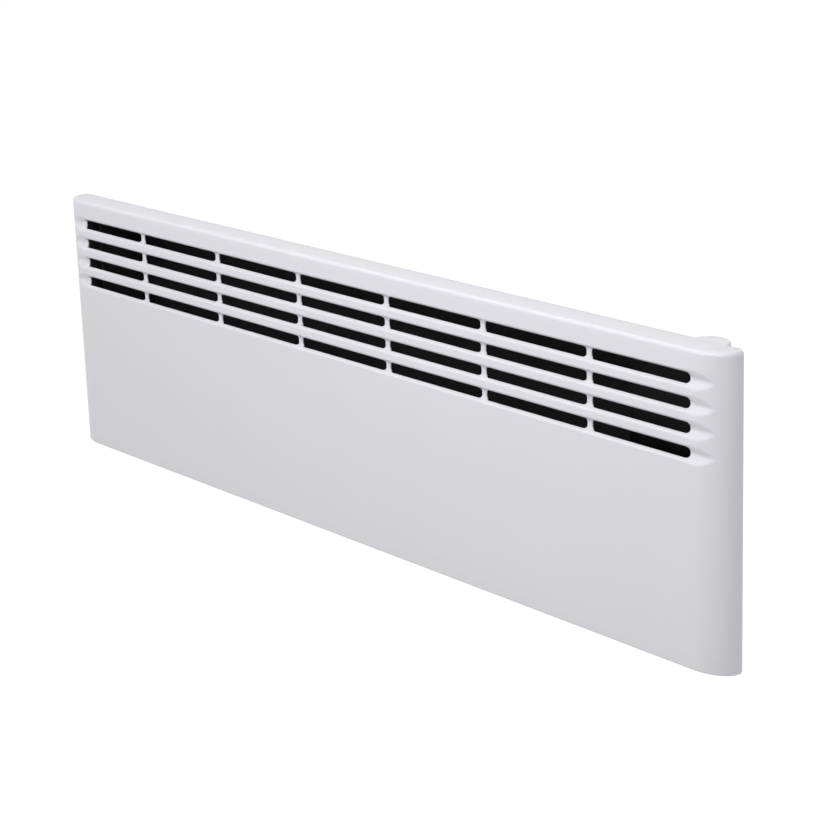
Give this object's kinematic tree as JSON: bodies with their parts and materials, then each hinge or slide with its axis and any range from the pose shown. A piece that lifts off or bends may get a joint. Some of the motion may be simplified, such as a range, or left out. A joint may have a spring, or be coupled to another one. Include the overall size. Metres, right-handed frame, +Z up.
{
  "type": "wall panel convector heater",
  "caption": "Low, wide electric panel heater with a slotted front casing, thermostat dial and power switch, hung on a two-upright wall bracket that lets it tilt forward.",
  "frame": {"origin": "on the wall plane, at the middle of the wall bracket's cross rail, behind the panel's centre", "axes": "+X to the panel's right end seen from the room, +Y into the wall, +Z up; the front faces -Y"},
  "size_m": [0.726, 0.085, 0.202],
  "materials": {
    "white_paint": "smooth semi-gloss powder coat",
    "black_enamel": "matt heat-proof enamel",
    "zinc_steel": "zinc plated",
    "spring_steel": "tempered, oiled",
    "aluminium": "extruded",
    "ceramic": "unglazed steatite",
    "white_plastic": "moulded satin",
    "black_plastic": "moulded",
    "circuit_green": "solder mask",
    "relay_blue": "moulded",
    "amber_lens": "clear moulded",
    "brown_lead": "silicone sleeve",
    "blue_lead": "silicone sleeve",
    "grey_lead": "silicone sleeve"
  },
  "bodies": {
    "wall_bracket": {"bracket_upright_left": "zinc_steel", "bracket_clip_left": "spring_steel", "clip_rivet_left": "zinc_steel", "bracket_upright_right": "zinc_steel", "bracket_clip_right": "spring_steel", "clip_rivet_right": "zinc_steel", "bracket_rail": "zinc_steel", "rail_rivet_1": "zinc_steel", "rail_rivet_2": "zinc_steel", "rail_rivet_3": "zinc_steel", "rail_rivet_4": "zinc_steel"},
    "heater": {"front_casing": "white_paint", "rear_casing": "white_paint", "casing_screw_1": "zinc_steel", "casing_screw_2": "zinc_steel", "casing_screw_3": "zinc_steel", "casing_screw_4": "zinc_steel", "casing_screw_5": "zinc_steel", "casing_screw_6": "zinc_steel", "casing_screw_7": "zinc_steel", "casing_screw_8": "zinc_steel", "rear_heat_shield": "black_enamel", "front_heat_shield": "black_enamel", "duct_end_left": "black_enamel", "duct_end_right": "black_enamel", "element_fins": "aluminium", "element_tube": "spring_steel", "element_bracket_left": "zinc_steel", "element_bush_left": "ceramic", "element_terminal_left": "zinc_steel", "element_bracket_right": "zinc_steel", "element_bush_right": "ceramic", "element_terminal_right": "zinc_steel", "cutout_bracket": "zinc_steel", "overheat_cutout": "ceramic", "control_housing": "black_plastic", "control_cover": "black_plastic", "circuit_board": "circuit_green", "relay": "relay_blue", "terminal_block": "white_plastic", "dial_potentiometer": "black_plastic", "indicator_lens": "amber_lens", "switch_body": "black_plastic", "cable_gland": "black_plastic", "gland_nut": "black_plastic", "air_sensor": "black_plastic", "lead_live": "brown_lead", "lead_neutral": "blue_lead", "lead_return": "grey_lead", "hanger_lug_left": "zinc_steel", "hinge_pin_left": "zinc_steel", "lug_screw_left": "zinc_steel", "hanger_lug_right": "zinc_steel", "hinge_pin_right": "zinc_steel", "lug_screw_right": "zinc_steel"},
    "dial": {"dial": "white_plastic", "dial_shaft": "zinc_steel"},
    "rocker": {"rocker": "black_plastic"}
  },
  "joints": [
    {"name": "tilt_forward", "type": "hinge", "parent": "wall_bracket", "child": "heater", "pos_m": [0, -0.021, -0.072], "axis": [1, 0, 0], "range_deg": [0, 30], "deforming": ["bracket_clip_left", "bracket_clip_right"]},
    {"name": "dial_turn", "type": "hinge", "parent": "heater", "child": "dial", "pos_m": [0.3154, -0.0481, 0.09], "axis": [0, 0, -1], "range_deg": [0, 270]},
    {"name": "rocker_press", "type": "hinge", "parent": "heater", "child": "rocker", "pos_m": [0.3265, -0.0455, 0.03], "axis": [0, 1, 0], "range_deg": [0, 20]}
  ]
}
